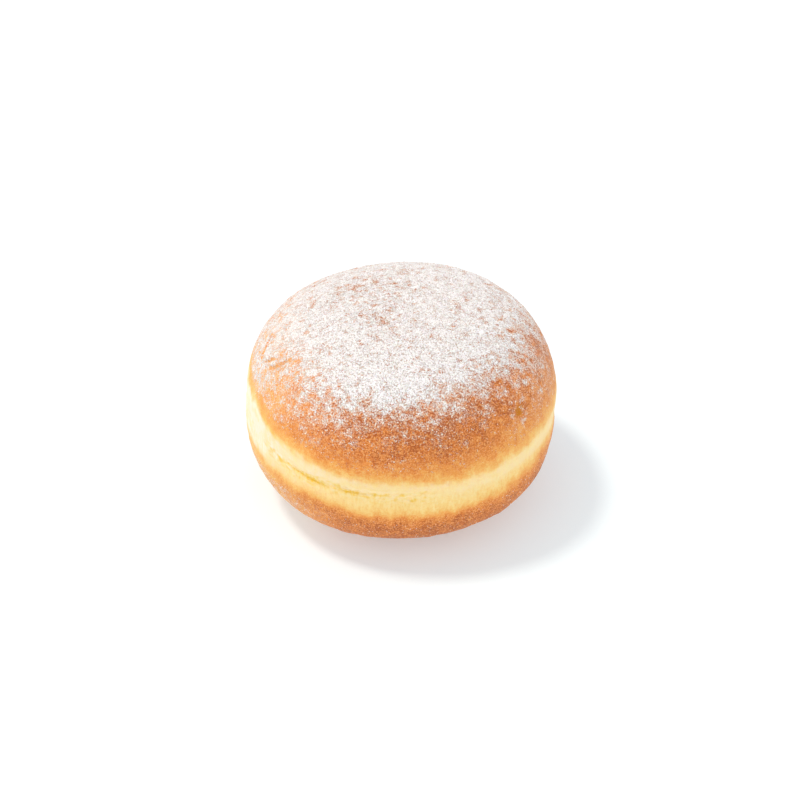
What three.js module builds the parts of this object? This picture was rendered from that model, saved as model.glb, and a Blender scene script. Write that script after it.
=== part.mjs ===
// A berliner doughnut: one round loaf of fried yeast dough that stands on a
// small flat spot. Two browned crusts, upper and lower, meet at a pale belt
// that never touched the fat. Millimetres, +Z up, the origin at the middle of
// the footprint, the side with the open crease towards -Y.

import * as THREE from 'three';
import { mergeVertices } from 'three/addons/utils/BufferGeometryUtils.js';

// Driving dimensions, in millimetres

const DIAMETER = 86; // across the widest level
const WIDEST_LEVEL = 25.5; // widest level above the table
const CROWN_RISE = 32.4; // top of the crown above the widest level
const KEEL_DEPTH = 27.5; // where the lower curve would close below the widest level
const LEAN = 0.018; // sideways shift towards +X for each millimetre of height

// The profile follows (radius / RADIUS)^power + (height / rise)^power = 1
const PROFILE_POWER = 2.72;

// The pale belt, as heights over the widest level on the belt's own slanted plane
const BELT_FOOT = -1.8;
const BELT_TOP = 9.4;
const BELT_SLANT = { x: -1.3, y: 3.6 }; // rise of that plane over one radius
const BELT_MARGIN = 2; // closely ringed strip beyond each border
const BELT_WAIST = 0.25; // how far the belt lies inside the two crusts
const SLANT_FADE = { from: 5, to: 21 }; // distance from mid belt over which the slant levels out

// The crease in the belt, where the dough folded as it rose
const CREASE_LEVEL = 3.8;
const CREASE_HALF_HEIGHT = 1.6;
const CREASE_DEPTH = 1.1; // in the open stretch
const CREASE_TRACE = 0.1; // all the way round
const CREASE_OPEN = { middle: -118, half: 34 }; // degrees from +X

// Out-of-round swelling of each half: waves round it, depth, and where one crest points
const CROWN_LOBES = [
  { waves: 2, depth: 0.25, crest: 38 },
  { waves: 4, depth: 0.45, crest: -29 },
];
const KEEL_LOBES = [
  { waves: 2, depth: 0.35, crest: 13 },
  { waves: 3, depth: 0.5, crest: 41 },
  { waves: 4, depth: 0.55, crest: -36 },
];
const LOBE_BLEND = { from: -6, to: 11 }; // heights between which one half takes over

// The shallow dimple beside the top of the crown
const DIMPLE = { x: -4.6, y: -7.6, radius: 8, depth: 0.6 };

const SEGMENTS = 108; // round the loaf
const KEEL_RINGS = 11;
const BELT_RINGS = 15;
const CROWN_RINGS = 16;
const ARC_SAMPLES = 400; // for even spacing of the rings

const CRUST_BROWN = 0xd28a52;

const RADIUS = DIAMETER / 2;
const BELT_MIDDLE = (BELT_FOOT + BELT_TOP) / 2;
const BELT_HALF = (BELT_TOP - BELT_FOOT) / 2;

// Radius of the plain loaf at a height over its widest level
function radiusAt(height) {
  const rise = height >= 0 ? CROWN_RISE : KEEL_DEPTH;
  const level = Math.min(Math.abs(height) / rise, 1);
  return RADIUS * Math.pow(1 - Math.pow(level, PROFILE_POWER), 1 / PROFILE_POWER);
}

// One stretch of the plain loaf's profile between two heights. A crowding over
// 1 gathers the heights towards the end, for a curve that ends nearly level.
class ProfileArc extends THREE.Curve {
  constructor(from, to, crowding = 1) {
    super();
    this.from = from;
    this.to = to;
    this.crowding = crowding;
    this.arcLengthDivisions = ARC_SAMPLES;
  }

  getPoint(t, target = new THREE.Vector2()) {
    const part = 1 - Math.pow(1 - t, this.crowding);
    const height = THREE.MathUtils.lerp(this.from, this.to, part);
    return target.set(radiusAt(height), height);
  }
}

// The closed profile, from the middle of the base up to the top of the crown
function loafProfile() {
  const beltFrom = BELT_FOOT - BELT_MARGIN;
  const beltTo = BELT_TOP + BELT_MARGIN;
  const keel = new ProfileArc(-WIDEST_LEVEL, beltFrom).getSpacedPoints(KEEL_RINGS);
  const belt = new ProfileArc(beltFrom, beltTo).getSpacedPoints(BELT_RINGS);
  const crown = new ProfileArc(beltTo, CROWN_RISE, PROFILE_POWER).getSpacedPoints(CROWN_RINGS);
  const baseMiddle = new THREE.Vector2(0, -WIDEST_LEVEL);
  const baseHalfway = new THREE.Vector2(keel[0].x / 2, -WIDEST_LEVEL);
  return [baseMiddle, baseHalfway, ...keel, ...belt.slice(1), ...crown.slice(1)];
}

// Height of the belt's slanted plane over its middle, in one direction
function slantAt(angle) {
  return BELT_SLANT.x * Math.cos(angle) + BELT_SLANT.y * Math.sin(angle);
}

// Sum of the lobes in one direction
function swelling(lobes, angle) {
  let sum = 0;
  for (const { waves, depth, crest } of lobes) {
    sum += depth * Math.cos(waves * (angle - THREE.MathUtils.degToRad(crest)));
  }
  return sum;
}

// 1 in the middle of a strip, falling smoothly to 0 at its two edges
function ridge(offset, half) {
  const part = Math.min(Math.abs(offset) / half, 1);
  return (1 - part * part) ** 2;
}

// How deep the waist and the crease lie at a height over the belt's plane
function beltRelief(height, angle) {
  const aside = THREE.MathUtils.degToRad(CREASE_OPEN.middle) - angle;
  const turn = Math.atan2(Math.sin(aside), Math.cos(aside));
  const open = ridge(turn, THREE.MathUtils.degToRad(CREASE_OPEN.half));
  const crease = CREASE_TRACE + (CREASE_DEPTH - CREASE_TRACE) * open;
  return BELT_WAIST * ridge(height - BELT_MIDDLE, BELT_HALF)
    + crease * ridge(height - CREASE_LEVEL, CREASE_HALF_HEIGHT);
}

// Moves one point of the turned loaf to its place on the uneven one
function shapePoint(point) {
  const plainRadius = Math.hypot(point.x, point.y);
  const angle = Math.atan2(point.y, point.x);
  const fromBelt = Math.abs(point.z - BELT_MIDDLE);
  const follow = 1 - THREE.MathUtils.smoothstep(fromBelt, SLANT_FADE.from, SLANT_FADE.to);
  const height = point.z + slantAt(angle) * follow;
  const upper = THREE.MathUtils.smoothstep(height, LOBE_BLEND.from, LOBE_BLEND.to);
  const lobes = THREE.MathUtils.lerp(swelling(KEEL_LOBES, angle), swelling(CROWN_LOBES, angle), upper);
  const slid = follow > 0 ? radiusAt(height) : plainRadius;
  const radius = slid * (1 + lobes / RADIUS) - beltRelief(height - slantAt(angle), angle) * follow;
  point.set(radius * Math.cos(angle) + LEAN * height, radius * Math.sin(angle), height);
  if (height > 0) {
    const away = Math.hypot(point.x - DIMPLE.x, point.y - DIMPLE.y);
    point.z -= DIMPLE.depth * ridge(away, DIMPLE.radius) * upper;
  }
}

function doughnutGeometry() {
  const turned = new THREE.LatheGeometry(loafProfile(), SEGMENTS);
  turned.deleteAttribute('normal');
  turned.deleteAttribute('uv');
  turned.rotateX(Math.PI / 2);
  const geometry = mergeVertices(turned);
  const places = geometry.getAttribute('position');
  const point = new THREE.Vector3();
  for (let i = 0; i < places.count; i += 1) {
    point.fromBufferAttribute(places, i);
    shapePoint(point);
    places.setXYZ(i, point.x, point.y, point.z);
  }
  geometry.computeBoundingBox();
  const middle = geometry.boundingBox.getCenter(new THREE.Vector3());
  geometry.translate(-middle.x, -middle.y, -geometry.boundingBox.min.z);
  geometry.computeVertexNormals();
  return geometry;
}

function friedCrust() {
  return new THREE.MeshStandardMaterial({ color: CRUST_BROWN, roughness: 0.7, metalness: 0 });
}

const doughnut = new THREE.Mesh(doughnutGeometry(), friedCrust());
doughnut.name = 'doughnut';

const berliner = new THREE.Group();
berliner.add(doughnut);

export default berliner;
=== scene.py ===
"""A berliner doughnut, dressed for a studio picture.

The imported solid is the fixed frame. The loaf's skin is cast onto it and gets its
fine relief and browning, the sugar is scattered over the skin, and a pale studio
is set round them. Relief and sizes are in millimetres, Blender's objects in metres.
"""

import logging
import math
from collections.abc import Callable
from dataclasses import dataclass, field
from enum import Enum
from functools import partial

import bmesh
import bpy
import numpy as np
from bpy.types import ID, Material, Mesh, NodeSocket, NodeTree, Object, World
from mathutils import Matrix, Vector, noise
from mathutils.bvhtree import BVHTree


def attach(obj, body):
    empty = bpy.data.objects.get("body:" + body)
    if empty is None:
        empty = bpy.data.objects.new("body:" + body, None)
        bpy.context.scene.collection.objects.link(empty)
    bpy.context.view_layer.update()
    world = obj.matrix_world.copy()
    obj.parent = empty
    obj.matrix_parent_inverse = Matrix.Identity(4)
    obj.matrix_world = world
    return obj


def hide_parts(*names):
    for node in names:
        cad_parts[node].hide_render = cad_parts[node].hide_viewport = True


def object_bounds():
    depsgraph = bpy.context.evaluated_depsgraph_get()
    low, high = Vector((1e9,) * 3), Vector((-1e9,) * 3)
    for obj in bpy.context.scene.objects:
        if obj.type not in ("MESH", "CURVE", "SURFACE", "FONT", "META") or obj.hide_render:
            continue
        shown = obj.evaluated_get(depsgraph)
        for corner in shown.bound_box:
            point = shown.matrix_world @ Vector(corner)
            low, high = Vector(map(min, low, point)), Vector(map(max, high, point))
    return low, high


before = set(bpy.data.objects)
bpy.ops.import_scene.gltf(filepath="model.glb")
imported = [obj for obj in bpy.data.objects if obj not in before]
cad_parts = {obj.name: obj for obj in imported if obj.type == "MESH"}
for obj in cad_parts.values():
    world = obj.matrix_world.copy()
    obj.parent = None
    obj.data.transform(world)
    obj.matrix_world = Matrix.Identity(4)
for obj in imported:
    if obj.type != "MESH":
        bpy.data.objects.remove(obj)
CAD_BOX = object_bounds()

LOG = logging.getLogger("berliner")

MM = 0.001
BODY = "root"
LOAF_NODE = "doughnut"
GRAIN_MAP = "OFBake"  # one cell for each grain, so that no unwrapping of thousands of grains is needed
LOAF_RADIUS = (CAD_BOX[1].x - CAD_BOX[0].x) / 2 / MM
SHARE, UNDER, OVER, MIXED = 0, 6, 7, 2  # sockets of a Mix node that mixes colours

Array = np.ndarray
Pair = tuple[float, float]
Triple = tuple[float, float, float]
Table = tuple[Pair, ...]  # places and the amounts there
Adder = Callable[..., NodeSocket]  # add_node for one tree


class Mark(Enum):
    """An amount that a mesh holds at each of its points."""

    BROWN = "brown"  # how far the fat browned the skin, held lower on the lit left side as painted light
    CREAM = "cream"  # how pale the belt's dough stayed, drawn paler still towards the lit left side as painted light
    CREASE = "crease"  # how far down in the crease it lies: painted shade and light glowing through the crumb there, and the crumb's own yellow strands along the torn seam
    AMBER = "amber"  # the middle of the dark blister
    SUGAR = "sugar"  # how densely powder covers the skin
    HAZE = "haze"  # how much of the finest powder hangs on beside the dusting, with painted glare of the lamp on the lit left rim
    FROST = "frost"  # where crystals cling to the lower crust
    CAKED = "caked"  # how densely sugar lies round a grain


def linear(colour: str) -> tuple[float, float, float, float]:
    """Turn an sRGB hex colour into linear light.

    Args:
        colour: six hex digits after a hash.

    Returns:
        Red, green, blue and a full alpha.
    """
    parts = [int(colour[i : i + 2], 16) / 255 for i in (1, 3, 5)]
    light = [p / 12.92 if p <= 0.04045 else ((p + 0.055) / 1.055) ** 2.4 for p in parts]
    return (*light, 1.0)


def per_metre(size: float) -> float:
    """Return the texture scale whose pattern is this many millimetres across."""
    return 1 / (size * MM)


def add_node(
    tree: NodeTree, kind: str, inputs: dict | None = None, out: int | str = 0,
    stops: tuple = (), **settings: object,
) -> NodeSocket | None:
    """Add one node with its settings and links.

    Args:
        tree: the material's or world's node tree.
        kind: the node's type name after the word ShaderNode.
        inputs: socket name or number to a value, a hex colour or the socket that feeds it.
        out: the output that is wanted.
        stops: places and hex colours of a colour ramp.
        settings: the node's own properties.

    Returns:
        That output, or None from the node that ends a tree.
    """
    node = tree.nodes.new("ShaderNode" + kind)
    for name, value in settings.items():
        setattr(node, name, value)
    for key, value in (inputs or {}).items():
        if isinstance(value, NodeSocket):
            tree.links.new(value, node.inputs[key])
        else:
            node.inputs[key].default_value = linear(value) if isinstance(value, str) else value
    for number, (place, colour) in enumerate(stops):
        elements = node.color_ramp.elements
        element = elements[number] if number < len(elements) else elements.new(place)
        element.position = place
        element.color = linear(colour)
    return node.outputs[out] if len(node.outputs) else None


def fresh_nodes(owner: Material | World) -> Adder:
    """Empty the node tree of a new material or world.

    Args:
        owner: the material or world.

    Returns:
        The function that adds a node to it.
    """
    owner.use_nodes = True
    owner.node_tree.nodes.clear()
    return partial(add_node, owner.node_tree)


def to_mesh(form: bmesh.types.BMesh, name: str) -> Mesh:
    """Turn a finished form into a mesh.

    Args:
        form: the form, which is used up.
        name: the mesh's name.

    Returns:
        The new mesh.
    """
    mesh = bpy.data.meshes.new(name)
    form.to_mesh(mesh)
    form.free()
    return mesh


def put_in_scene(name: str, data: ID) -> Object:
    """Put a mesh, a lamp or a camera into the scene.

    Args:
        name: the new object's name.
        data: what it shows.

    Returns:
        The new object.
    """
    thing = bpy.data.objects.new(name, data)
    bpy.context.scene.collection.objects.link(thing)
    return thing


def new_piece(name: str, mesh: Mesh, material: Material) -> Object:
    """Put a finished mesh into the scene as a piece that rides on the loaf's body.

    Args:
        name: the piece's name.
        mesh: its mesh, already in place, in metres.
        material: its finish.

    Returns:
        The new object.
    """
    mesh.materials.append(material)
    piece = put_in_scene(name, mesh)
    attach(piece, BODY)
    return piece


def mark_points(mesh: Mesh, mark: Mark, amounts: Array) -> None:
    """Store an amount at each of a mesh's points."""
    layer = mesh.attributes.new(mark.value, "FLOAT", "POINT")
    layer.data.foreach_set("value", amounts.astype(np.float32))


def read_rows(items: bpy.types.bpy_prop_collection, name: str, kind: type, width: int) -> Array:
    """Read one property of all points, normals, triangles or amounts of a mesh.

    Args:
        items: what has the property.
        name: the property.
        kind: the type of its numbers.
        width: how many numbers each item has.

    Returns:
        One row for each item.
    """
    rows = np.empty(len(items) * width, kind)
    items.foreach_get(name, rows)
    return rows.reshape(-1, width)


def smoothstep(value: Array, low: float, high: float) -> Array:
    """Return 0 below low, 1 above high and a smooth rise between them."""
    part = np.clip((value - low) / (high - low), 0, 1)
    return part * part * (3 - 2 * part)


def staged(value: Array, *rises: Triple) -> Array:
    """Return the sum of smooth rises, each with its amount, its start and its end."""
    return sum(amount * smoothstep(value, low, high) for amount, low, high in rises)


def ridge(offset: Array, half: float) -> Array:
    """Return 1 at no offset, falling smoothly to 0 at half on either side."""
    part = np.clip(np.abs(offset) / half, 0, 1)
    return (1 - part * part) ** 2


def looked_up(value: Array, table: Table) -> Array:
    """Return the amount that a table gives for each value."""
    return np.interp(value, *zip(*table))


def turns(points: Array) -> Array:
    """Return each point's direction round the loaf, in degrees from +X."""
    return np.degrees(np.arctan2(points[:, 1], points[:, 0]))


def outward(points: Array) -> Array:
    """Return each point's distance from the loaf's upright axis."""
    return np.hypot(points[:, 0], points[:, 1])


@dataclass(frozen=True)
class Ripple:
    """Smooth unevenness over the skin."""

    height: float
    size: float  # of its grain, in millimetres
    seed: float  # moves it, so that two ripples differ
    squeeze: Triple = (1.0, 1.0, 1.0)  # below 1 draws its grain out along that axis

    def at(self, points: Array) -> Array:
        """Return a value between the height below 0 and above it for each point."""
        places = points * np.array(self.squeeze) / self.size + self.seed
        return self.height * np.array([noise.noise(Vector(place)) for place in places])


def rippled(points: Array, ripples: tuple[Ripple, ...]) -> Array:
    """Return the sum of several ripples at each point."""
    return sum(ripple.at(points) for ripple in ripples)


@dataclass(frozen=True)
class Border:
    """A slanted, slightly wavy level round the loaf, along which its skin changes.

    The level is its height over the table in the middle, in millimetres, each rise
    is how much higher it lies one radius further along that axis, and the wave says
    how far it strays from that plane, as degrees from +X and millimetres upwards.
    """

    level: float
    rise_x: float
    rise_y: float
    wave: Table = ((-180.0, 0.0), (180.0, 0.0))

    def over(self, points: Array) -> Array:
        """Return how far each point lies above the border, in millimetres."""
        slant = (self.rise_x * points[:, 0] + self.rise_y * points[:, 1]) / LOAF_RADIUS
        return points[:, 2] - self.level - slant - looked_up(turns(points), self.wave)


@dataclass(frozen=True)
class Side:
    """A side of the loaf that has more of something, in degrees from +X."""

    middle: float
    half: float
    amount: float

    def at(self, points: Array) -> Array:
        """Return the amount in the middle of the side, falling to 0 at its edges."""
        return self.amount * ridge((turns(points) - self.middle + 180) % 360 - 180, self.half)


@dataclass(frozen=True)
class Fold:
    """A groove in the skin along a line of points, with raised lips, in millimetres."""

    line: tuple[Triple, ...]
    half_width: float
    depth: float
    lip: float
    ragged: float  # how far its edges stray
    lip_middle: float = 1.7  # in half widths, as the next
    lip_half: float = 1.3

    def nearness(self, points: Array) -> tuple[Array, Array]:
        """Measure how each point lies to the line.

        Args:
            points: places on the skin.

        Returns:
            The distance from the line, and the share of full depth there, which
            dies away at both ends of the line.
        """
        best = np.full(len(points), np.inf)
        along = np.zeros(len(points))
        points = points.copy()
        points[:, 2] += Ripple(self.ragged, size=1.7, seed=3.3).at(points)
        joints = np.array(self.line)
        steps = np.linalg.norm(np.diff(joints, axis=0), axis=1)
        starts = np.concatenate([[0], np.cumsum(steps)])
        for start, end, done, step in zip(joints, joints[1:], starts, steps):
            way = end - start
            part = np.clip((points - start) @ way / (way @ way), 0, 1)
            gap = np.linalg.norm(points - start - part[:, None] * way, axis=1)
            nearer = gap < best
            best = np.where(nearer, gap, best)
            along = np.where(nearer, (done + part * step) / starts[-1], along)
        return best, np.sqrt(np.clip(4 * along * (1 - along), 0, 1))

    def trace(self, points: Array, reach: float) -> Array:
        """Return 1 along the line, falling to 0 at its ends and at a reach in half widths."""
        gap, share = self.nearness(points)
        return share * ridge(gap, reach * self.half_width)

    def height(self, points: Array) -> Array:
        """Work out the fold's relief.

        Args:
            points: places on the skin.

        Returns:
            The height that the fold adds at each point.
        """
        gap, share = self.nearness(points)
        groove = self.depth * ridge(gap, self.half_width)
        lips = self.lip * ridge(gap - self.lip_middle * self.half_width, self.lip_half * self.half_width)
        return share * (lips - groove)


@dataclass(frozen=True)
class Spot:
    """A small round place on the skin, in millimetres.

    The rise is a bump's height, and below 0 a pit's depth. In a drift of powder it
    is the cover in the middle, and in a bay of the powder the share missing there.
    """

    place: Triple
    radius: float
    rise: float = 0.0

    def share(self, points: Array) -> Array:
        """Return 1 in the middle of the spot, falling to 0 at its radius."""
        return ridge(np.linalg.norm(points - np.array(self.place), axis=1), self.radius)


@dataclass(frozen=True)
class Strewing:
    """Spots strewn by chance: their number, and the ranges of their radius and rise."""

    count: int
    radius: Pair
    rise: Pair
    most: float = math.inf  # that a rise may come to

    def spots(self, seed: int, points: Array, allowed: Array, base: Array) -> list[Spot]:
        """Strew the spots over the skin.

        Args:
            seed: the seed of chance.
            points: places on the skin.
            allowed: whether a spot may lie there.
            base: what each rise is added to.

        Returns:
            The spots.
        """
        draw = np.random.default_rng(seed)
        spots = []
        for i in draw.choice(np.flatnonzero(allowed), self.count, replace=False):
            radius, rise = draw.uniform(*self.radius), draw.uniform(*self.rise)
            spots.append(Spot(tuple(points[i]), radius, min(self.most, base[i] + rise)))
        return spots


@dataclass(frozen=True)
class FriedDough:
    """Yeast dough fried in fat, then dusted with powdered sugar.

    The fat browns the skin in a thin dry layer, golden where it starts and deep
    orange brown where it stayed longest, and leaves a faint sheen. The belt kept
    above the fat is pale, soft crumb. Fine sugar clings to the skin as a film.
    """

    name: str = "fried_yeast_dough"
    browning: tuple = (
        (0.0, "#FCDD9A"), (0.12, "#FAD183"), (0.24, "#F5BC68"), (0.36, "#F1A854"), (0.48, "#EB9747"),
        (0.6, "#E2883E"), (0.73, "#D87B34"), (0.84, "#CB6E2D"), (1.0, "#B05A27"),
    )
    cream: str = "#FDE8CC"
    # the crease: painted shade and light glowing through the crumb in the slits, and the crumb's own yellow
    # along the torn seam
    crease: str = "#F3C248"
    amber: str = "#CB780F"
    # pale flecks: the crust's tiny blisters, with painted glints on them
    blister_glint: str = "#F5BA7C"
    powder: str = "#FFFCFA"
    shaded_powder: str = "#A8978E"  # between the clumps, where little light gets in
    thin_powder: str = "#E2CDC1"  # so thin that the crust tints it
    lone_powder: str = "#FFEDDD"  # specks on bare crust, which shines through them
    lone_veil: str = "#FCDFCB"  # and the thin powder round them
    haze_warmth: float = 0.9  # how much of that warmth the haze has
    dust_shade: float = 0.16  # how much the powder's shade deepens the brown between its grains
    # Sizes of the skin's patterns, in millimetres
    mottle_size: float = 5.0
    blotch_size: float = 1.9
    fibre_size: float = 0.7
    fibre_squeeze: Triple = (1.0, 1.0, 0.35)  # below 1 draws the fibres out along that axis
    fleck_size: float = 0.42  # real blisters are finer, drawn coarser so that they show
    powder_size: float = 0.44  # clumps of powder, drawn coarser than its grains
    bump_depth: float = 0.22

    def material(self) -> Material:
        """Build the dough's node material.

        Returns:
            A material that reads the loaf's own marks and Object coordinates.
        """
        material = bpy.data.materials.new(self.name)
        add = fresh_nodes(material)
        place = add("TexCoord", out="Object")
        drawn = add("VectorMath", {0: place, 1: self.fibre_squeeze}, operation="MULTIPLY")
        made = {}
        for mark in (Mark.BROWN, Mark.CREAM, Mark.CREASE, Mark.AMBER, Mark.SUGAR, Mark.HAZE):
            made[mark] = add("Attribute", out="Fac", attribute_name=mark.value)
        for name, vector, size in (
            ("mottle", place, self.mottle_size),
            ("blotch", place, self.blotch_size),
            ("fibre", drawn, self.fibre_size),
            ("fleck", place, self.fleck_size),
            ("powder", place, self.powder_size),
        ):
            inputs = {"Vector": vector, "Scale": per_metre(size), "Detail": 2.0, "Roughness": 0.65}
            made[name] = add("TexNoise", inputs, "Fac")
        skin = self.skin_colour(add, made)
        thin, white = self.sugar_colours(add, made)
        veil, film = self.sugar_film(add, made)
        veiled = add("Mix", {SHARE: veil, UNDER: skin, OVER: thin}, MIXED, data_type="RGBA")
        dusted = add("Mix", {SHARE: film, UNDER: veiled, OVER: white}, MIXED, data_type="RGBA")
        rough = add("MapRange", {"Value": film, "To Min": 0.5, "To Max": 0.9})
        height = add("Math", {0: film, 1: 0.8, 2: made["fleck"]}, operation="MULTIPLY_ADD")
        bump = add("Bump", {"Strength": 0.9, "Distance": self.bump_depth * MM, "Height": height})
        shader = {
            "Base Color": dusted,
            "Roughness": rough,
            "Normal": bump,
            "IOR": 1.45,
            "Specular IOR Level": 0.22,
            "Subsurface Weight": 0.12,
            "Subsurface Radius": (1.0, 0.5, 0.25),
            "Subsurface Scale": 1.2 * MM,
        }
        add("OutputMaterial", {"Surface": add("BsdfPrincipled", shader)})
        return material

    def skin_colour(self, add: Adder, made: dict[Mark | str, NodeSocket]) -> NodeSocket:
        """Colour the skin from raw belt to deep brown.

        Args:
            add: adds a node.
            made: the loaf's marks, and the skin's patterns around a half.

        Returns:
            The skin's colour.
        """
        brown, fleck, fibre = made[Mark.BROWN], made["fleck"], made["fibre"]
        broad = add("Math", {0: made["blotch"], 1: made["mottle"]}, operation="ADD")
        uneven = add("Math", {0: fleck, 1: -2.0, 2: broad}, operation="MULTIPLY_ADD")
        shift = {"Value": uneven, "From Min": -0.5, "From Max": 0.5, "To Min": -0.32, "To Max": 0.32}
        shift = add("MapRange", shift)
        spread = add("MapRange", {"Value": brown, "From Min": 0.18, "From Max": 0.8, "To Min": 0.2})
        streak = add("MapRange", {"Value": fibre, "To Min": -0.2, "To Max": 0.2})
        raw = add("MapRange", {"Value": brown, "From Max": 0.7, "To Min": 1.0, "To Max": 0.1})
        level = add("Math", {0: brown, 1: 0.88}, operation="MULTIPLY")
        for amount, share in ((streak, raw), (shift, spread), (made[Mark.SUGAR], self.dust_shade)):
            level = add("Math", {0: amount, 1: share, 2: level}, operation="MULTIPLY_ADD")
        colour = add("ValToRGB", {0: level}, stops=self.browning)
        # painted glints: pale flecks on the crust's tiny blisters
        raised = add("MapRange", {"Value": fleck, "From Min": 0.5, "From Max": 0.66, "To Max": 0.6})
        raised = add("Math", {0: raised, 1: spread}, operation="MULTIPLY")
        colour = add("Mix", {SHARE: raised, UNDER: colour, OVER: self.blister_glint}, MIXED, data_type="RGBA")
        patchy = add("Math", {0: fibre, 1: 2.0, 2: broad}, operation="MULTIPLY_ADD")
        patchy = {"Value": patchy, "From Min": 1.6, "From Max": 2.4, "To Min": 0.35, "To Max": 1.65}
        patchy = add("MapRange", patchy)
        tints = {Mark.CREAM: self.cream, Mark.CREASE: self.crease, Mark.AMBER: self.amber}
        for mark, tint in tints.items():
            share = add("Math", {0: made[mark], 1: patchy}, operation="MULTIPLY", use_clamp=True)
            colour = add("Mix", {SHARE: share, UNDER: colour, OVER: tint}, MIXED, data_type="RGBA")
        return colour

    def sugar_colours(self, add: Adder, made: dict[Mark | str, NodeSocket]) -> tuple[NodeSocket, NodeSocket]:
        """Colour the powder, which the crust warms where it lies thinly.

        Args:
            add: adds a node.
            made: the loaf's marks, and the skin's patterns around a half.

        Returns:
            The colour of the thin veil, and that of the specks.
        """
        # painted shade between the clumps of powder
        clump_shade = add("MapRange", {"Value": made["fleck"], "From Min": 0.5, "From Max": 0.66, "To Max": 0.9})
        lone = {"Value": made[Mark.SUGAR], "From Min": 0.3, "From Max": 0.7, "To Min": 1.0, "To Max": 0.0}
        lone = add("MapRange", lone)
        # the haze warms the white: partly fine powder, partly painted glare of the lamp on the lit left rim
        warmed = {0: made[Mark.HAZE], 1: self.haze_warmth}
        warmed = add("Math", warmed, operation="MULTIPLY", use_clamp=True)
        lone = add("Math", {0: lone, 1: warmed}, operation="MAXIMUM")
        white = self.powder
        for share, tint in ((clump_shade, self.shaded_powder), (lone, self.lone_powder)):
            white = add("Mix", {SHARE: share, UNDER: white, OVER: tint}, MIXED, data_type="RGBA")
        thin = {SHARE: lone, UNDER: self.thin_powder, OVER: self.lone_veil}
        return add("Mix", thin, MIXED, data_type="RGBA"), white

    def sugar_film(self, add: Adder, made: dict[Mark | str, NodeSocket]) -> tuple[NodeSocket, NodeSocket]:
        """Break the dusting into fine specks over a thin veil.

        Args:
            add: adds a node.
            made: the loaf's marks, and the skin's patterns around a half.

        Returns:
            How much of the skin the thin veil hides, and how much the specks hide.
        """
        dust = made[Mark.SUGAR]
        low = add("MapRange", {"Value": dust, "To Min": 0.65, "To Max": 0.34})
        high = add("Math", {0: low, 1: 0.07}, operation="ADD")
        most = add("MapRange", {"Value": dust, "From Max": 0.6, "To Min": 0.9, "To Max": 0.97})
        cover = {"Value": made["powder"], "From Min": low, "From Max": high, "To Max": most}
        cover = add("MapRange", cover, interpolation_type="SMOOTHSTEP")
        there = add("MapRange", {"Value": dust, "From Max": 0.06})
        specks = add("Math", {0: cover, 1: there}, operation="MULTIPLY")
        thin = {"Value": dust, "From Min": 0.1, "From Max": 0.76, "To Max": 0.95}
        thin = add("MapRange", thin, interpolation_type="SMOOTHSTEP")
        # the haze veils the skin palely: partly fine powder, partly painted glare of the lamp on the lit
        # left rim
        thin = add("Math", {0: thin, 1: made[Mark.HAZE]}, operation="MAXIMUM")
        least = {"Value": dust, "From Min": 0.55, "From Max": 0.95, "To Min": 0.06, "To Max": 0.38}
        least = add("MapRange", least)
        closed = {"Value": made["fleck"], "From Min": 0.42, "From Max": 0.53, "To Min": least}
        closed = add("MapRange", closed)
        return add("Math", {0: thin, 1: closed}, operation="MULTIPLY"), specks


@dataclass(frozen=True)
class SugarFinish:
    """Milled sugar: tiny broken crystals that scatter light, so they read as matte white.

    Where grains lie apart, the crust shines through them and warms their white.
    """

    name: str
    pale: str = "#FDF9F6"
    deep: str = "#DED4CE"
    lone: str = "#FFEBD9"
    roughness: float = 0.75
    patch_size: float = 0.7  # in millimetres

    def material(self) -> Material:
        """Build the sugar's node material.

        Returns:
            A material whose white varies from grain to grain.
        """
        material = bpy.data.materials.new(self.name)
        add = fresh_nodes(material)
        patch = {"Vector": add("TexCoord", out="Object"), "Scale": per_metre(self.patch_size), "Detail": 1.0}
        patch = add("TexNoise", patch, "Fac")
        colour = add("ValToRGB", {0: patch}, stops=((0.3, self.deep), (0.7, self.pale)))
        caked = add("Attribute", out="Fac", attribute_name=Mark.CAKED.value)
        apart = {"Value": caked, "From Min": 0.25, "From Max": 0.75, "To Min": 0.95, "To Max": 0.0}
        apart = add("MapRange", apart)
        colour = add("Mix", {SHARE: apart, UNDER: colour, OVER: self.lone}, MIXED, data_type="RGBA")
        shader = {"Base Color": colour, "Roughness": self.roughness, "IOR": 1.54, "Specular IOR Level": 0.3}
        add("OutputMaterial", {"Surface": add("BsdfPrincipled", shader)})
        return material


@dataclass(frozen=True)
class OpalTable:
    """Opal acrylic lit from below: plain white, and its own glow keeps the shadows pale."""

    name: str = "opal_acrylic"
    light: str = "#CFDADE"
    dark: str = "#CDD8DC"
    cloud_size: float = 40.0  # in millimetres
    glow: float = 0.33
    glow_colour: str = "#FFFFFF"

    def material(self) -> Material:
        """Build the table's node material.

        Returns:
            A matte white material with a glow.
        """
        material = bpy.data.materials.new(self.name)
        add = fresh_nodes(material)
        place = add("TexCoord", out="Object")
        cloud = add("TexNoise", {"Vector": place, "Scale": per_metre(self.cloud_size)}, "Fac")
        shader = {
            "Base Color": add("ValToRGB", {0: cloud}, stops=((0.4, self.dark), (0.6, self.light))),
            "Roughness": 1.0,
            "Specular IOR Level": 0.0,
            "Emission Color": self.glow_colour,
            "Emission Strength": self.glow,
        }
        add("OutputMaterial", {"Surface": add("BsdfPrincipled", shader)})
        return material


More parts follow.
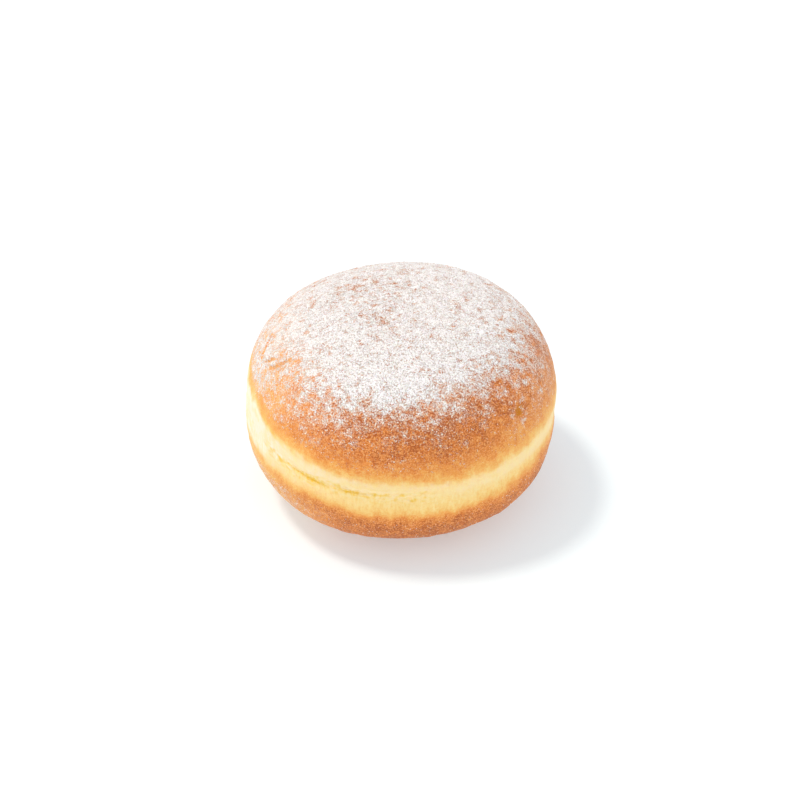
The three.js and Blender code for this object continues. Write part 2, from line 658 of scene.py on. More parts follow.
@dataclass
class Loaf:
    """The uncut loaf of dough: two browned crusts and the pale belt between them.

    Sizes and places are in millimetres, directions in degrees from +X. A top edge or a
    foot edge holds the two distances from that border of the belt, outwards, between
    which something sets in, and a standing the two heights over the table.
    """

    name: str = "dough_loaf"
    seed: int = 7

    # How the skin is cast onto the solid
    cells: int = 106  # along each edge of the cube that is cast
    fine_cuts: int = 2  # further cuts of each cell at the crease and other small relief
    fine_reach: float = 4.0  # half widths beside a wrinkle that get them
    blister_reach: float = 1.6  # radii round the dark blister that get them
    belt_crowding: float = 0.3  # how much closer the rows lie at the belt
    heart: float = 27.0  # height of the point that the skin is cast from
    merge_gap: float = 0.001
    flat_angle: float = 40.0  # largest bend between two triangles that are joined
    square_angle: float = 60.0  # and how far their quad may be from square
    rounding: int = 2  # times that the solid is rounded off

    # The two borders of the belt, and the crease between them
    belt_top: Border = Border(
        34.9, -1.3, 3.6,
        (
            (-180.0, 1.2), (-154.0, 2.0), (-142.0, 1.2), (-125.0, 0.9), (-112.0, -0.3), (-90.0, -0.6),
            (-70.0, -1.2), (-57.0, -1.0), (-46.0, -0.1), (-30.0, 0.6), (0.0, 0.2), (180.0, 1.2),
        ),
    )
    belt_foot: Border = Border(
        22.9, 0.9, 2.8,
        (
            (-180.0, 0.0), (-138.0, 1.5), (-124.0, 1.6), (-112.0, 0.8), (-90.0, -0.8), (-70.0, -0.8),
            (-50.0, 0.3), (-32.0, 2.4), (0.0, 1.2), (180.0, 0.0),
        ),
    )
    crease_plane: Border = Border(29.2, -1.3, 3.6)

    # Relief
    crust_top_edge: Pair = (-0.5, 2.5)
    crust_foot_edge: Pair = (-0.5, 2.0)
    relief_standing: Pair = (0.3, 3.0)
    crust_ripples: tuple = (Ripple(0.16, 8.0, 3.1), Ripple(0.12, 2.8, 5.7), Ripple(0.07, 1.2, 9.3))
    belt_ripples: tuple = (Ripple(0.1, 1.3, 2.2, (0.25, 0.25, 1.0)), Ripple(0.05, 1.0, 8.4))
    torn_ripples: tuple = (Ripple(0.12, 0.7, 5.1, (0.45, 0.45, 1.0)), Ripple(0.1, 0.6, 1.9))
    crumb_fill: Side = Side(-118.0, 34.0, 0.85)  # how high torn crumb fills the solid's open crease
    crumb_reach: float = 1.6
    seam_span: Pair = (-154.0, -72.0)
    seam_fade: float = 12.0
    seam_reach: float = 3.2
    seam: Fold = Fold(
        (
            (-37.5, -19.4, 29.2), (-32.2, -27.3, 28.2), (-27.5, -32.1, 27.4),
            (-10.5, -40.8, 26.3), (3.3, -42.2, 27.2), (12.0, -40.6, 26.2),
        ),
        0.45, 0.12, 0.05, 0.4,
    )
    slits: tuple = (
        Fold(
            ((-28.3, -31.3, 27.6), (-24.8, -34.2, 27.0), (-21.0, -36.7, 26.5), (-18.0, -38.4, 26.3)),
            1.0, 0.55, 0.15, 0.2,
        ),
        Fold(((-16.9, -38.9, 26.3), (-13.9, -39.9, 26.2), (-10.2, -40.9, 26.3)), 0.8, 0.35, 0.1, 0.22),
        Fold(
            ((-36.8, -19.4, 36.5), (-35.3, -22.8, 35.0), (-33.6, -25.7, 34.0), (-29.2, -31.3, 32.2)),
            0.4, 0.15, 0.05, 0.6,
        ),
    )
    wrinkles: tuple = (
        Fold(
            ((-36.9, -8.6, 45.0), (-35.3, -9.9, 46.4), (-34.0, -10.9, 47.6), (-32.6, -12.0, 48.5)),
            0.6, 0.5, 0.3, 0.3,
        ),
        Fold(
            ((-35.2, -12.5, 45.6), (-32.8, -14.3, 47.6), (-30.4, -15.1, 49.4), (-28.5, -15.0, 50.8)),
            0.65, 0.6, 0.3, 0.3,
        ),
        Fold(
            ((-37.4, -7.4, 44.5), (-36.4, -5.8, 46.2), (-35.6, -3.4, 47.5), (-34.1, -0.2, 49.2)),
            0.6, 0.4, 0.25, 0.3,
        ),
    )
    blister: Spot = Spot((31.3, -26.2, 41.8), 2.6, -0.4)
    crumb: Spot = Spot((-17.4, -38.6, 26.1), 0.9, 0.35)
    pitting: Strewing = Strewing(34, (0.5, 1.0), (0.15, 0.35))
    pit_field: Spot = Spot((-6.0, -3.0, 57.3), 11.0)
    pit_squeeze: float = 0.65  # how narrow that field is from side to side
    bubbling: Strewing = Strewing(150, (0.9, 2.2), (0.05, 0.16))
    bubble_crust: float = 0.9  # share of crust from which on bubbles rise

    # Browning over the distance from each border, and how that distance wavers
    upper_browning: Table = (
        (-4.0, 0.0), (-1.6, 0.12), (0.0, 0.28), (1.3, 0.42),
        (2.9, 0.56), (4.7, 0.7), (8.0, 0.86), (12.0, 1.0),
    )
    lower_browning: Table = (
        (-5.0, 0.04), (-2.4, 0.13), (-1.0, 0.21), (0.0, 0.3),
        (1.0, 0.5), (1.8, 0.7), (3.4, 0.86), (6.0, 1.0),
    )
    upper_waver: tuple = (
        Ripple(0.9, 6.0, 1.7), Ripple(0.7, 1.7, 6.1, (1.0, 1.0, 0.2)), Ripple(0.8, 1.1, 3.7),
    )
    left_waver: Ripple = Ripple(1.1, 2.5, 8.3)
    lower_waver: tuple = (Ripple(1.1, 4.5, 4.4, (1.0, 1.0, 0.2)), Ripple(0.7, 1.6, 7.9, (1.0, 1.0, 0.2)))
    pale_side: Side = Side(-170.0, 75.0, 0.69)  # painted light: the lit left side is drawn paler
    slow_sides: tuple = (Side(-33.0, 50.0, 0.42), Side(-170.0, 58.0, 0.58))  # where the browning rises more slowly upwards
    side_span: Pair = (18.0, 34.0)  # distances from the middle
    keel_pallor: Triple = (0.2, 0.0, 4.0)  # how much paler it is there below the belt's foot
    keel_brown: Triple = (0.42, 1.0, 4.0)  # and how brown at least
    wrinkle_brown: float = 0.7
    brown_reach: float = 1.3  # half widths of a wrinkle

    # The dusting seen from above, as cover over the distance from its middle, in reaches
    dust_middle: Pair = (-2.0, -2.0)
    dust_reach: Pair = (33.5, 35.3)
    front_dusting: Table = (
        (0.0, 0.9), (0.79, 0.93), (0.85, 0.82), (0.9, 0.62), (0.95, 0.47), (1.0, 0.36),
        (1.06, 0.22), (1.12, 0.11), (1.18, 0.04), (1.3, 0.0),
    )
    right_dusting: Table = (
        (0.0, 0.9), (0.78, 0.88), (0.9, 0.74), (0.98, 0.62),
        (1.1, 0.48), (1.2, 0.34), (1.35, 0.1), (1.45, 0.0),
    )
    left_dusting: Table = (
        (0.0, 0.92), (0.7, 0.88), (0.85, 0.77), (0.98, 0.7),
        (1.08, 0.6), (1.16, 0.46), (1.26, 0.27), (1.4, 0.0),
    )
    right_span: Pair = (-0.3, 0.3)  # share of the way outwards that leads to the right
    front_span: Pair = (-0.85, -0.25)  # and to the back
    front_turn: float = 0.22  # how far the front is turned on the left
    front_unturn: Triple = (0.45, 1.0, 1.15)  # and how much less towards its edge
    right_stretch: float = 0.12  # how much further it reaches at the back on the right
    back_span: Pair = (0.0, 0.5)
    dust_waver: tuple = (Ripple(0.07, 6.5, 2.9), Ripple(0.06, 2.4, 6.6))
    dust_patches: tuple = (Ripple(0.45, 2.3, 8.8), Ripple(0.55, 1.1, 3.6, (0.85, 1.0, 1.0)))
    patch_limit: float = 1.8  # cover at which the patches would vanish
    dust_top_edge: Pair = (0.5, 4.0)
    thin_side: Side = Side(-146.0, 20.0, 0.45)  # where the upper crust holds less powder
    thin_span: Pair = (0.78, 0.95)
    low_dusting: Side = Side(-150.0, 52.0, 0.3)  # where the lower crust holds some
    low_foot_edge: Pair = (1.0, 5.0)
    low_standing: Pair = (0.6, 2.5)
    pit_loss: float = 0.12
    bare_reach: float = 1.5  # half widths of a wrinkle
    # Drifts of powder by the blister, by the wrinkles and along the edge of the dusting
    drifts: tuple = (
        Spot((29.9, -27.9, 41.2), 1.3, 0.34), Spot((33.0, -25.8, 39.3), 1.4, 0.38),
        Spot((30.3, -29.3, 37.5), 1.5, 0.32), Spot((35.5, -22.0, 39.8), 1.5, 0.32),
        Spot((-35.2, -7.2, 46.8), 2.2, 0.95), Spot((-37.0, -11.8, 42.6), 1.9, 0.7),
        Spot((-29.9, -17.3, 48.9), 4.0, 0.72), Spot((-25.0, -30.6, 43.5), 4.5, 0.42),
        Spot((-15.6, -35.2, 45.2), 4.0, 0.52), Spot((5.4, -34.8, 48.4), 3.2, 0.56),
        Spot((8.4, -35.9, 46.6), 3.0, 0.46), Spot((20.8, -28.9, 48.5), 3.2, 0.58),
        Spot((17.2, -32.4, 46.7), 2.6, 0.36), Spot((22.8, -30.6, 45.6), 3.6, 0.4),
        Spot((15.4, -34.3, 45.8), 2.2, 0.42), Spot((38.3, -13.6, 44.4), 1.8, 0.5),
        Spot((32.8, -19.4, 46.6), 1.7, 0.54), Spot((38.4, -9.8, 44.4), 1.5, 0.66),
        Spot((21.4, -33.2, 43.1), 2.4, 0.34), Spot((29.8, -24.6, 45.5), 1.9, 0.46),
        Spot((-21.5, -31.5, 45.7), 3.0, 0.5),
    )
    # Small drifts strewn where the cover is thin
    strewn: Strewing = Strewing(130, (0.7, 1.6), (0.08, 0.26), 0.6)
    strewn_cover: Pair = (0.1, 0.5)
    # Bays where powder fell off or sank in, the last of them the dimple
    bays: tuple = (
        Spot((-12.2, -36.2, 45.6), 4.2, 0.5), Spot((-4.8, -38.9, 43.6), 5.0, 0.45),
        Spot((14.5, -30.6, 49.8), 3.0, 0.38), Spot((27.4, -23.4, 48.4), 4.5, 0.25),
        Spot((25.6, -26.3, 47.7), 2.6, 0.35), Spot((37.0, -5.0, 47.3), 6.0, 0.45),
        Spot((35.7, -12.6, 47.0), 3.2, 0.35), Spot((34.9, -18.4, 45.0), 3.4, 0.35),
        Spot((30.6, -21.4, 47.7), 3.0, 0.3), Spot((-20.8, -26.8, 50.0), 3.5, 0.3),
        Spot((-29.3, -26.3, 43.2), 3.5, 0.4), Spot((-9.0, 9.0, 57.3), 20.0, 0.18),
        Spot((-4.6, -7.6, 57.3), 9.0, 0.16),
    )

    # The belt's cream, the crease's shade, the blister's amber, the crystals and the haze
    cream_span: Pair = (-2.2, 2.4)  # heights over the crease
    cream_waver: Ripple = Ripple(1.0, 4.0, 2.4)
    cream_left: tuple = ((0.45, 8.0, 26.0), (0.55, 30.0, 40.0))  # painted light on the lit left side: amounts and distances to the left
    cream_browning: Pair = (0.05, 0.3)  # that ends it
    cream_foot_edge: Pair = (-2.0, 0.0)  # inwards
    cream_patches: Ripple = Ripple(0.9, 1.8, 9.6, (0.6, 0.6, 1.0))
    cream_tears: Ripple = Ripple(1.0, 0.8, 4.7)
    cream_crumb: float = 1.5
    cream_least: float = 0.24
    cream_rises: tuple = ((0.2, 0.0, 20.0), (0.5, 26.0, 40.0))  # painted light on the lit left side: amounts and distances to the left
    shade_reach: float = 1.7  # half widths of a slit
    shade_depth: float = 2.6  # shade for each millimetre of its depth
    shade_strands: Ripple = Ripple(1.4, 0.9, 6.3, (0.5, 0.5, 1.0))
    strand_level: float = 0.1
    strand_most: float = 0.7
    shade_most: float = 0.9
    amber_waver: Ripple = Ripple(0.35, 1.1, 5.5)
    amber_span: Pair = (0.35, 0.65)  # shares of the blister
    frost_foot_edge: Pair = (0.5, 4.0)
    frost_standing: Pair = (0.5, 2.0)
    # the lit left rim, where the haze stands partly for fine powder, partly for painted glare of the lamp
    hazy_side: Side = Side(-172.0, 75.0, 0.45)
    haze_top_edge: Pair = (4.0, 12.0)
    haze_span: Pair = (22.0, 36.0)  # distances from the middle
    haze_patches: Ripple = Ripple(0.4, 4.0, 8.1)

    def build(self, finish: FriedDough) -> Object:
        """Model the loaf and dress it.

        Args:
            finish: the dough's finish.

        Returns:
            The loaf, standing for the solid.
        """
        mesh = self.cast_skin()
        points = read_rows(mesh.vertices, "co", np.float32, 3).astype(float) / MM
        normals = read_rows(mesh.vertex_normals, "vector", np.float32, 3).astype(float)
        points = points + normals * self.relief(points)[:, None]
        mesh.vertices.foreach_set("co", (points * MM).ravel())
        mesh.update()
        for mark, amounts in self.markings(points).items():
            mark_points(mesh, mark, amounts)
        piece = new_piece(self.name, mesh, finish.material())
        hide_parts(LOAF_NODE)
        return piece

    def smooth_solid(self) -> BVHTree:
        """Round off a copy of the solid.

        Returns:
            The rounded copy, ready to be hit by rays.
        """
        form = bmesh.new()
        form.from_mesh(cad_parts[LOAF_NODE].data)
        bmesh.ops.remove_doubles(form, verts=form.verts, dist=self.merge_gap * MM)
        bmesh.ops.join_triangles(
            form,
            faces=form.faces,
            angle_face_threshold=math.radians(self.flat_angle),
            angle_shape_threshold=math.radians(self.square_angle),
        )
        mesh = to_mesh(form, "rounded")
        helper = put_in_scene("rounded", mesh)
        rounding = helper.modifiers.new("rounding", "SUBSURF")
        rounding.levels = self.rounding
        rounding.render_levels = self.rounding
        tree = BVHTree.FromObject(helper, bpy.context.evaluated_depsgraph_get())
        bpy.data.objects.remove(helper)
        bpy.data.meshes.remove(mesh)
        return tree

    def cast_skin(self) -> Mesh:
        """Blow an evenly divided cube up against the rounded solid.

        Returns:
            The plain skin.
        """
        solid = self.smooth_solid()
        form = bmesh.new()
        bmesh.ops.create_cube(form, size=2)
        bmesh.ops.subdivide_edges(form, edges=form.edges, cuts=self.cells - 1, use_grid_fill=True)
        fine = self.detailed(np.array([self.cast(solid, vert.co) / MM for vert in form.verts]))
        edges = [edge for edge in form.edges if all(fine[vert.index] for vert in edge.verts)]
        bmesh.ops.subdivide_edges(form, edges=edges, cuts=self.fine_cuts, use_grid_fill=True)
        for vert in form.verts:
            vert.co = self.cast(solid, vert.co)
        bmesh.ops.recalc_face_normals(form, faces=form.faces)
        for face in form.faces:
            face.smooth = True
        return to_mesh(form, self.name)

    def cast(self, solid: BVHTree, corner: Vector) -> Vector:
        """Send one point of the cube outwards to the solid.

        Args:
            solid: the rounded solid.
            corner: the point on the cube.

        Returns:
            Where it meets the solid.
        """
        x, y, z = corner
        crowded = z - self.belt_crowding * math.sin(math.pi * z) / math.pi
        way = Vector([math.tan(math.pi / 4 * part) for part in (x, y, crowded)])
        return solid.ray_cast(Vector((0, 0, self.heart * MM)), way)[0]

    def torn(self, points: Array) -> Array:
        """Work out where the belt's dough is torn open along the crease.

        Args:
            points: places on the skin.

        Returns:
            1 along the crease, falling to 0 beside it and past its ends.
        """
        turn = turns(points)
        first, last = self.seam_span
        along = smoothstep(turn, first, first + self.seam_fade)
        along *= 1 - smoothstep(turn, last - self.seam_fade, last)
        return along * ridge(self.crease_plane.over(points), self.seam_reach)

    def detailed(self, points: Array) -> Array:
        """Find the places whose relief needs a finer mesh.

        Args:
            points: places on the skin.

        Returns:
            True at the crease, the wrinkles, the pits and the dark blister.
        """
        near = self.torn(points) > 0
        near |= self.pit_field.share(points) > 0
        near |= Spot(self.blister.place, self.blister_reach * self.blister.radius).share(points) > 0
        for fold in self.wrinkles:
            near |= fold.nearness(points)[0] < self.fine_reach * fold.half_width
        return near

    def crust_share(self, points: Array) -> Array:
        """Return 1 on the two crusts and 0 on the belt, with a soft border."""
        over = smoothstep(self.belt_top.over(points), *self.crust_top_edge)
        return np.maximum(over, smoothstep(-self.belt_foot.over(points), *self.crust_foot_edge))

    def relief(self, points: Array) -> Array:
        """Work out the skin's fine relief.

        Args:
            points: places on the plain skin.

        Returns:
            The height to add along each normal.
        """
        crust = self.crust_share(points)
        height = crust * rippled(points, self.crust_ripples)
        height += (1 - crust) * rippled(points, self.belt_ripples)
        height += self.torn(points) * rippled(points, self.torn_ripples)
        height += self.crumb_fill.at(points) * ridge(self.crease_plane.over(points), self.crumb_reach)
        for fold in (*self.slits, self.seam, *self.wrinkles):
            height += fold.height(points)
        level = np.zeros(len(points))
        bubbles = self.bubbling.spots(self.seed + 1, points, crust > self.bubble_crust, level)
        for spot in (self.blister, self.crumb, *self.pits(points), *bubbles):
            height += spot.rise * spot.share(points)
        return height * smoothstep(points[:, 2], *self.relief_standing)

    def pits(self, points: Array) -> list[Spot]:
        """Scatter small pits round the dimple.

        Args:
            points: places on the skin.

        Returns:
            The pits.
        """
        draw = np.random.default_rng(self.seed)
        spots = []
        for _ in range(self.pitting.count):
            turn, out = draw.uniform(0, 2 * math.pi), self.pit_field.radius * math.sqrt(draw.uniform())
            aside = (self.pit_squeeze * out * math.cos(turn), out * math.sin(turn), 0)
            wanted = np.array(self.pit_field.place) + aside
            nearest = points[np.argmin(((points - wanted) ** 2).sum(1))]
            radius, depth = draw.uniform(*self.pitting.radius), draw.uniform(*self.pitting.rise)
            spots.append(Spot(tuple(nearest), radius, -depth))
        return spots

    def browned(self, points: Array) -> Array:
        """Work out how far each point is browned, with the lit left side drawn paler as painted light.

        Args:
            points: places on the skin.

        Returns:
            0 for raw belt up to 1 for the deepest crust.
        """
        waver = rippled(points, self.upper_waver)
        waver += smoothstep(-points[:, 0], *self.side_span) * self.left_waver.at(points)
        below = -self.belt_foot.over(points)
        over, under = self.belt_top.over(points), below.copy()
        for side in self.slow_sides:
            over *= 1 - side.at(points) * (over > 0)
            under *= 1 - side.at(points) * (under > 0)
        upper = looked_up(over + waver, self.upper_browning)
        lower = looked_up(under + rippled(points, self.lower_waver), self.lower_browning)
        # painted light: the outer part of the lit left side is drawn paler
        outer = smoothstep(outward(points), *self.side_span) * (1 + staged(below, self.keel_pallor))
        brown = np.minimum(np.maximum(upper, lower), 1 - outer * self.pale_side.at(points))
        brown = np.maximum(brown, staged(below, self.keel_brown))
        for fold in self.wrinkles:
            brown = np.maximum(brown, self.wrinkle_brown * fold.trace(points, self.brown_reach))
        return brown

    def plain_dust(self, points: Array) -> Array:
        """Work out how densely the powder would lie on a smooth crust.

        Args:
            points: places on the skin.

        Returns:
            The share of the skin that is covered.
        """
        plan = (points[:, :2] - np.array(self.dust_middle)) / np.array(self.dust_reach)
        away = np.linalg.norm(plan, axis=1)
        heading = plan / away.clip(0.01)[:, None]
        rightward = smoothstep(heading[:, 0], *self.right_span)
        turned = self.front_turn * (1 - rightward) * (1 - staged(away, self.front_unturn))
        behind = heading[:, 1] + turned
        ahead = 1 - smoothstep(behind, *self.front_span)
        away *= 1 - self.right_stretch * rightward * smoothstep(behind, *self.back_span)
        away += rippled(points, self.dust_waver)
        tables = (self.front_dusting, self.right_dusting, self.left_dusting)
        front, right, left = (looked_up(away, table) for table in tables)
        cover = ahead * front + (1 - ahead) * (rightward * right + (1 - rightward) * left)
        cover *= 1 - self.thin_side.at(points) * smoothstep(away, *self.thin_span)
        return cover * smoothstep(self.belt_top.over(points), *self.dust_top_edge)

    def dust(self, points: Array) -> Array:
        """Work out how densely the powder lies.

        Args:
            points: places on the skin.

        Returns:
            The share of the skin that is covered.
        """
        cover = self.plain_dust(points)
        for bay in self.bays:
            cover *= 1 - bay.rise * bay.share(points)
        cover *= 1 - self.blister.share(points)
        for pit in self.pits(points):
            cover *= 1 - self.pit_loss * pit.share(points)
        least, most = self.strewn_cover
        strewn = self.strewn.spots(self.seed + 2, points, (cover > least) & (cover < most), cover)
        for drift in (*self.drifts, *strewn):
            cover = np.maximum(cover, drift.rise * np.sqrt(drift.share(points)))
        for fold in self.wrinkles:
            cover *= 1 - fold.trace(points, self.bare_reach)
        low = self.low_dusting.at(points) * smoothstep(-self.belt_foot.over(points), *self.low_foot_edge)
        cover = np.maximum(cover, low * smoothstep(points[:, 2], *self.low_standing))
        return cover * (1 + rippled(points, self.dust_patches) * (self.patch_limit - cover))

    def cream(self, points: Array, brown: Array) -> Array:
        """Work out where the belt's dough stayed palest, drawn paler towards the lit left side as painted
        light.

        Args:
            points: places on the skin.
            brown: how far each is browned.

        Returns:
            How creamy each point is.
        """
        leftward = -points[:, 0]
        over_crease = self.crease_plane.over(points) + self.cream_waver.at(points)
        # painted light: the belt drawn paler towards the lit left side
        pale = np.maximum(smoothstep(over_crease, *self.cream_span), staged(leftward, *self.cream_left))
        pale *= 1 - smoothstep(brown, *self.cream_browning)
        pale *= smoothstep(self.belt_foot.over(points), *self.cream_foot_edge)
        pale *= 1 + self.cream_patches.at(points)
        pale = np.clip(pale + self.torn(points) * self.cream_tears.at(points), 0, 1)
        pale = np.maximum(pale, self.cream_crumb * self.crumb.share(points))
        # painted light: more cream towards the lit left side
        return pale * (self.cream_least + staged(leftward, *self.cream_rises))

    def shade(self, points: Array) -> Array:
        """Work out how far down in the crease each point lies.

        Args:
            points: places on the skin.

        Returns:
            0 beside the crease, and more in it.
        """
        shade = np.zeros(len(points))
        for fold in (*self.slits, self.seam):
            depth = min(1.0, self.shade_depth * fold.depth)
            shade = np.maximum(shade, depth * fold.trace(points, self.shade_reach))
        strands = np.clip(self.strand_level + self.shade_strands.at(points), 0, self.strand_most)
        return np.clip(np.maximum(shade, self.torn(points) * strands), 0, self.shade_most)

    def markings(self, points: Array) -> dict[Mark, Array]:
        """Work out what the finish and the sugar read at each point.

        Args:
            points: places on the finished skin.

        Returns:
            The amounts of each mark.
        """
        brown = self.browned(points)
        amber = smoothstep(self.blister.share(points) + self.amber_waver.at(points), *self.amber_span)
        frost = smoothstep(-self.belt_foot.over(points), *self.frost_foot_edge)
        frost *= smoothstep(points[:, 2], *self.frost_standing)
        # haze: a pale veil on the lit left rim, partly fine powder, partly painted glare of the lamp
        haze = self.hazy_side.at(points) * smoothstep(self.belt_top.over(points), *self.haze_top_edge)
        haze *= 1 + self.haze_patches.at(points)
        haze *= smoothstep(outward(points), *self.haze_span)
        return {
            Mark.BROWN: brown,
            Mark.CREAM: self.cream(points, brown),
            Mark.CREASE: self.shade(points),
            Mark.AMBER: amber,
            Mark.SUGAR: np.clip(self.dust(points), 0, 1),
            Mark.FROST: frost,
            Mark.HAZE: np.clip(haze, 0, 1),
        }


class GrainShape(Enum):
    """The few-sided body that a kind of sugar grain is made from."""

    SPLINTER = "splinter"
    LUMP = "lump"
    CRYSTAL = "crystal"

    def body(self) -> tuple[Array, Array]:
        """Model one grain about one unit wide.

        Returns:
            Its points, and its faces as triples of point numbers.
        """
        form = bmesh.new()
        if self is GrainShape.SPLINTER:
            bmesh.ops.create_cone(form, cap_ends=True, segments=3, radius1=0.6, radius2=0, depth=0.8)
        elif self is GrainShape.LUMP:
            bmesh.ops.create_icosphere(form, subdivisions=1, radius=0.5)
        else:
            bmesh.ops.create_cube(form, size=0.8)
        bmesh.ops.triangulate(form, faces=form.faces)
        bmesh.ops.recalc_face_normals(form, faces=form.faces)
        points = np.array([vert.co[:] for vert in form.verts])
        faces = np.array([[vert.index for vert in face.verts] for face in form.faces])
        form.free()
        return points, faces


@dataclass
class SugarScatter:
    """One kind of sugar grain, strewn over the loaf where a mark allows it.

    Lone grains are the finest and lie flat, and caked ones are the largest.
    """

    name: str
    shape: GrainShape
    where: Mark
    finish: SugarFinish
    seed: int
    count: int
    across: Pair  # smallest and largest, in millimetres
    flatness: float
    contrast: float = 1.0  # over 1 keeps the grains to the dense places
    fineness: float = 0.7  # below 1 favours the small ones
    lone_size: float = 0.6  # against a caked grain, as the next
    lone_flatness: float = 0.4
    lone_span: Pair = (0.2, 0.7)  # cover between lone and caked
    corners: Pair = (0.72, 1.2)  # how far its corners stray
    widths: Pair = (0.6, 1.0)
    thicknesses: Pair = (0.7, 1.3)
    lean: float = 0.25
    lift: float = 0.22  # of its middle over the skin, in thicknesses
    map_slant: Pair = (0.35, 0.2)  # draws its map aslant, so that no side is lost

    def build(self, loaf: Object) -> Object:
        """Strew the grains and dress them.

        Args:
            loaf: the finished loaf.

        Returns:
            All grains of this kind as one piece.
        """
        draw = np.random.default_rng(self.seed)
        places, normals, cover = self.places(loaf.data, draw)
        points, faces = self.grains(places, normals, cover, draw)
        mesh = bpy.data.meshes.new(self.name)
        mesh.from_pydata((points.reshape(-1, 3) * MM).tolist(), [], faces.reshape(-1, 3).tolist())
        self.map_cells(mesh)
        mark_points(mesh, Mark.CAKED, np.repeat(cover, points.shape[1]))
        return new_piece(self.name, mesh, self.finish.material())

    def places(self, mesh: Mesh, draw: np.random.Generator) -> tuple[Array, Array, Array]:
        """Choose where the grains lie.

        Args:
            mesh: the loaf's mesh.
            draw: the seeded source of chance.

        Returns:
            Each grain's place in millimetres, the skin's normal there and its cover.
        """
        mesh.calc_loop_triangles()
        triangles = read_rows(mesh.loop_triangles, "vertices", np.int32, 3)
        corners = read_rows(mesh.vertices, "co", np.float32, 3).astype(float)[triangles] / MM
        cover = read_rows(mesh.attributes[self.where.value].data, "value", np.float32, 1).ravel()
        across = np.cross(corners[:, 1] - corners[:, 0], corners[:, 2] - corners[:, 0])
        area = np.linalg.norm(across, axis=1)
        cover = cover[triangles].mean(axis=1).clip(0, 1)
        weight = area * cover**self.contrast
        chosen = draw.choice(len(triangles), self.count, p=weight / weight.sum())
        shares = draw.dirichlet((1, 1, 1), self.count)
        places = (corners[chosen] * shares[:, :, None]).sum(axis=1)
        return places, across[chosen] / area[chosen, None], cover[chosen]

    def grains(
        self, places: Array, normals: Array, cover: Array, draw: np.random.Generator
    ) -> tuple[Array, Array]:
        """Set an uneven grain down at each place.

        Args:
            places: where the grains lie.
            normals: the skin's outward normals there.
            cover: how densely the sugar lies there.
            draw: the seeded source of chance.

        Returns:
            The points of each grain, and its faces by number in the whole.
        """
        body, sides = self.shape.body()
        count = len(places)
        loose = body[None] * draw.uniform(*self.corners, (count, len(body), 1))
        smallest, largest = self.across
        length = smallest + (largest - smallest) * draw.power(self.fineness, count)
        length *= self.lone_size + (1 - self.lone_size) * cover
        width = draw.uniform(*self.widths, count)
        standing = self.lone_flatness + (1 - self.lone_flatness) * smoothstep(cover, *self.lone_span)
        thickness = self.flatness * standing * draw.uniform(*self.thicknesses, count)
        spans = length[:, None] * np.stack([np.ones(count), width, thickness], axis=1)
        loose = loose * spans[:, None]
        lean = normals + draw.normal(0, self.lean, (count, 3))
        up = lean / np.linalg.norm(lean, axis=1, keepdims=True)
        side = np.cross(up, draw.normal(0, 1, (count, 3)))
        side /= np.linalg.norm(side, axis=1, keepdims=True)
        axes = np.stack([side, np.cross(up, side), up], axis=1)
        points = np.einsum("gpi,gij->gpj", loose, axes)
        lift = self.lift * spans[:, 2, None] * normals
        points += (places + lift)[:, None]
        faces = sides[None] + len(body) * np.arange(count)[:, None, None]
        return points, faces

    def map_cells(self, mesh: Mesh) -> None:
        """Give each grain a cell of its own on the grains' map.

        Args:
            mesh: the grains' mesh.
        """
        body, sides = self.shape.body()
        flat = 0.5 + 0.5 * (body[:, :2] + body[:, 2:] * np.array(self.map_slant))
        row = math.ceil(math.sqrt(self.count))
        grain = np.arange(self.count)
        corner = np.stack([grain % row, grain // row], axis=1)
        places = (corner[:, None] + flat[sides.ravel()][None]) / row
        layer = mesh.uv_layers.new(name=GRAIN_MAP, do_init=False)
        layer.uv.foreach_set("vector", places.astype(np.float32).ravel())


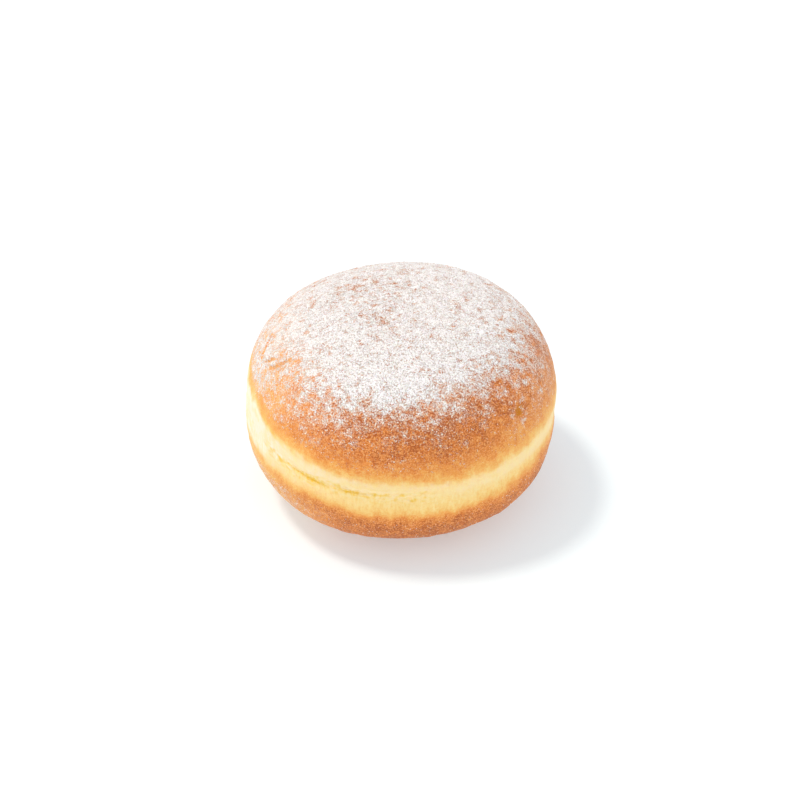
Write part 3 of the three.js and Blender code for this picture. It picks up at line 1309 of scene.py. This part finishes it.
@dataclass
class Studio:
    """A white table, a bright tent of light all round and one soft lamp behind the left shoulder."""

    floor_radius: float = 2.5  # metres
    floor_sides: int = 64
    tent_low: float = 1.46  # brightness at the horizon
    tent_high: float = 0.56  # and overhead
    tent_colour: str = "#F5FAFF"
    lamp_colour: str = "#FFF4E8"
    lamp_azimuth: float = 168.0  # degrees from +X
    lamp_elevation: float = 66.0
    lamp_spread: float = 11.0  # how wide it looks from the table, in degrees
    lamp_strength: float = 1.42
    view_elevation: float = 36.0
    view_distance: float = 0.5375  # metres
    view_level: float = 25.5  # height of the loaf's widest level, in millimetres
    view_above: float = 0.7  # aim above it, in millimetres up the picture
    lens: float = 87.2
    sensor: float = 36.0
    nearest: float = 0.01  # that the camera sees, in metres

    def build(self, table: OpalTable) -> None:
        """Set up the floor, the light and the camera.

        Args:
            table: the floor's finish.
        """
        self.lay_floor(table)
        self.hang_lamp()
        self.light_tent()
        self.place_camera()
        bpy.context.scene.view_settings.view_transform = "Standard"

    def lay_floor(self, table: OpalTable) -> None:
        """Lay the table that the loaf stands on.

        Args:
            table: the floor's finish.
        """
        form = bmesh.new()
        bmesh.ops.create_circle(form, cap_ends=True, segments=self.floor_sides, radius=self.floor_radius)
        mesh = to_mesh(form, "opal_table")
        mesh.materials.append(table.material())
        floor = put_in_scene("opal_table", mesh)

    def hang_lamp(self) -> None:
        """Hang the lamp so that it shines at the loaf."""
        lamp = bpy.data.lights.new("soft_lamp", "SUN")
        lamp.angle = math.radians(self.lamp_spread)
        lamp.energy = self.lamp_strength
        lamp.color = linear(self.lamp_colour)[:3]
        turn, rise = math.radians(self.lamp_azimuth), math.radians(self.lamp_elevation)
        away = Vector((math.cos(rise) * math.cos(turn), math.cos(rise) * math.sin(turn), math.sin(rise)))
        holder = put_in_scene("soft_lamp", lamp)
        holder.location = away
        holder.rotation_euler = away.to_track_quat("Z", "Y").to_euler()

    def light_tent(self) -> None:
        """Light the tent, brighter at the horizon than overhead."""
        world = bpy.data.worlds.new("light_tent")
        add = fresh_nodes(world)
        level = add("SeparateXYZ", {0: add("TexCoord", out="Generated")}, "Z")
        bright = add("MapRange", {"Value": level, "To Min": self.tent_low, "To Max": self.tent_high})
        tent = add("Background", {"Color": self.tent_colour, "Strength": bright})
        add("OutputWorld", {"Surface": tent})
        bpy.context.scene.world = world

    def place_camera(self) -> None:
        """Stand the camera at the photograph's angle."""
        camera = bpy.data.cameras.new("camera")
        camera.lens = self.lens
        camera.sensor_width = self.sensor
        camera.sensor_fit = "HORIZONTAL"
        camera.clip_start = self.nearest
        rise = math.radians(self.view_elevation)
        back = Vector((0, -math.cos(rise), math.sin(rise)))
        up = Vector((0, math.sin(rise), math.cos(rise)))
        aim = Vector((0, 0, self.view_level)) * MM + up * self.view_above * MM
        holder = put_in_scene("camera", camera)
        holder.location = aim + back * self.view_distance
        holder.rotation_euler = back.to_track_quat("Z", "Y").to_euler()
        bpy.context.scene.camera = holder


@dataclass
class Berliner:
    """The whole doughnut: the loaf and the kinds of sugar on it."""

    loaf: Loaf = field(default_factory=Loaf)
    dough: FriedDough = FriedDough()
    sugars: tuple = (
        SugarScatter(
            "sugar_powder", GrainShape.SPLINTER, Mark.SUGAR, SugarFinish("icing_sugar"),
            seed=11, count=46000, across=(0.15, 0.34), flatness=0.6, contrast=1.8,
        ),
        SugarScatter(
            "sugar_clumps", GrainShape.LUMP, Mark.SUGAR, SugarFinish("caked_icing_sugar"),
            seed=12, count=4500, across=(0.3, 0.62), flatness=0.45, contrast=1.7,
        ),
        SugarScatter(
            "sugar_crystals", GrainShape.CRYSTAL, Mark.FROST, SugarFinish("caster_sugar"),
            seed=13, count=1600, across=(0.12, 0.25), flatness=0.8,
        ),
    )

    def build(self) -> None:
        """Build every piece in order and report it."""
        loaf = self.loaf.build(self.dough)
        LOG.info("%s: %d faces", loaf.name, len(loaf.data.polygons))
        for sugar in self.sugars:
            grains = sugar.build(loaf)
            LOG.info("%s: %d grains, %d faces", grains.name, sugar.count, len(grains.data.polygons))


def main() -> None:
    """Build the doughnut and its studio."""
    logging.basicConfig(level=logging.INFO, format="%(name)s: %(message)s")
    Berliner().build()
    Studio().build(OpalTable())
    LOG.info("studio: floor, lamp and camera")


if __name__ == "__main__":
    main()
